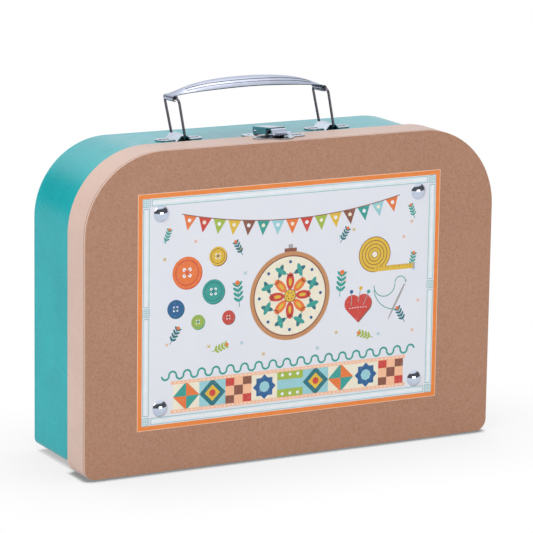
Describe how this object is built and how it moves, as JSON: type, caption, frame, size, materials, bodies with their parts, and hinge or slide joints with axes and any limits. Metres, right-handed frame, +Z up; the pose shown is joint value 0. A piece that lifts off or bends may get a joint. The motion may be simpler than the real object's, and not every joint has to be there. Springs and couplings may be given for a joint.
{
  "type": "sewing case",
  "caption": "Upright board sewing case with round upper corners, a hinged lid, a hooked latch lever, a folding wire-loop handle and a bordered printed label held by domed rivets.",
  "frame": {"origin": "bottom centre of the overall box, case standing on its hinged side with the handle as in the picture", "axes": "+X along the case's width, +Y from the lid's front to the base's back, +Z up towards the handle"},
  "size_m": [0.3, 0.0884, 0.2458],
  "materials": {
    "kraft_board": "matt kraft paper wrapped over board",
    "teal_board": "teal paper with a soft sheen, wrapped over board",
    "lining_paper": "plain matt lining paper",
    "label_paper": "printed satin paper",
    "bright_chrome": "bright plated pressed steel",
    "nickelled_steel": "dull plated steel"
  },
  "bodies": {
    "base": {"base_wall": "teal_board", "base_back_panel": "teal_board", "base_wall_lining": "lining_paper", "base_back_lining": "lining_paper", "handle_bracket_left": "bright_chrome", "handle_bracket_right": "bright_chrome", "handle_clinch_plates": "nickelled_steel", "latch_base": "bright_chrome", "latch_clinch_plate": "nickelled_steel", "latch_pin": "bright_chrome", "hinge_base_leaf_left": "nickelled_steel", "hinge_base_leaf_right": "nickelled_steel", "base_hinge_clinch_plates": "nickelled_steel", "hinge_pins": "nickelled_steel"},
    "lid": {"lid_wall": "kraft_board", "lid_front_panel": "kraft_board", "lid_wall_lining": "lining_paper", "lid_front_lining": "lining_paper", "printed_label": "label_paper", "label_rivets": "bright_chrome", "catch_plate": "bright_chrome", "catch_clinch_plate": "nickelled_steel", "hinge_lid_leaf_left": "nickelled_steel", "hinge_lid_leaf_right": "nickelled_steel", "lid_hinge_clinch_plates": "nickelled_steel"},
    "latch_lever": {"latch_lever": "bright_chrome"},
    "loop_left": {"handle_loop_left": "bright_chrome"},
    "loop_right": {"handle_loop_right": "bright_chrome"},
    "grip": {"handle_grip": "bright_chrome"}
  },
  "joints": [
    {"name": "lid_hinge", "type": "hinge", "parent": "base", "child": "lid", "pos_m": [0, -0.0138, 0.00125], "axis": [1, 0, 0], "range_deg": [0, 180]},
    {"name": "latch_pivot", "type": "hinge", "parent": "base", "child": "latch_lever", "pos_m": [-0.0048, -0.0023, 0.2109], "axis": [-1, 0, 0], "range_deg": [0, 75]},
    {"name": "loop_left_pivot", "type": "hinge", "parent": "base", "child": "loop_left", "pos_m": [-0.0598, 0.0092, 0.2088], "axis": [0, 0.999, -0.0436], "range_deg": [-69.5, 90.5]},
    {"name": "loop_right_pivot", "type": "hinge", "parent": "base", "child": "loop_right", "pos_m": [0.0502, 0.0092, 0.2088], "axis": [0, 0.999, -0.0436], "range_deg": [-69.5, 90.5]},
    {"name": "grip_pivot", "type": "hinge", "parent": "loop_left", "child": "grip", "pos_m": [-0.06461, 0.01033, 0.23473], "axis": [0, 0.999, -0.0436], "range_deg": [-90.5, 69.5]}
  ],
  "couplings": [
    {"joint": "loop_right_pivot", "follows": "loop_left_pivot", "ratio": 1},
    {"joint": "grip_pivot", "follows": "loop_left_pivot", "ratio": -1}
  ]
}
